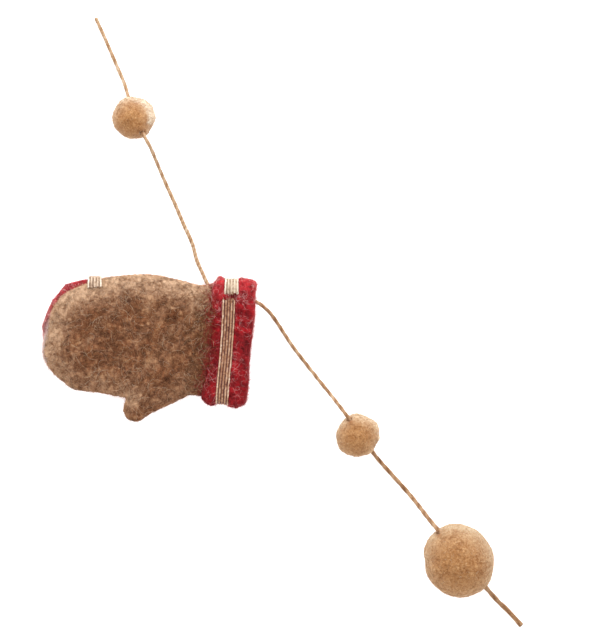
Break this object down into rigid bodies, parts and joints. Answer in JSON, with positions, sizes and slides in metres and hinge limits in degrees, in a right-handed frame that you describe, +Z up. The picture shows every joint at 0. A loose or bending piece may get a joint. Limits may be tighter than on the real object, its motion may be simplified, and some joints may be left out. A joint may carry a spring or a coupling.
{
  "type": "felt mitten garland",
  "caption": "Length of twine threaded through felt balls and a flat felt mitten with a ribbon-trimmed cuff, lying on a surface.",
  "frame": {"origin": "on the surface that the garland lies on, under the middle of the mitten's hand", "axes": "+Z up, away from the surface; +X from the mitten's fingers to its cuff; +Y from the thumb's side of the mitten to the other side"},
  "size_m": [0.2267, 0.287, 0.0329],
  "materials": {
    "red_felt": "matte fuzzy red wool felt with pale stray fibres",
    "brown_felt": "matte fuzzy mottled brown wool felt with pale stray fibres",
    "woven_ribbon": "narrow woven ribbon of cream and tan lengthwise cords",
    "jute_twine": "rough two-ply jute twine",
    "tan_felt": "matte fuzzy tan felted wool"
  },
  "bodies": {
    "root": {"hand_back": "red_felt", "hand_front": "brown_felt", "cuff": "red_felt", "cuff_ribbon": "woven_ribbon", "finger_ribbon": "woven_ribbon", "twine": "jute_twine", "ball_small_1": "tan_felt", "ball_small_2": "tan_felt", "ball_large": "tan_felt"}
  },
  "joints": []
}
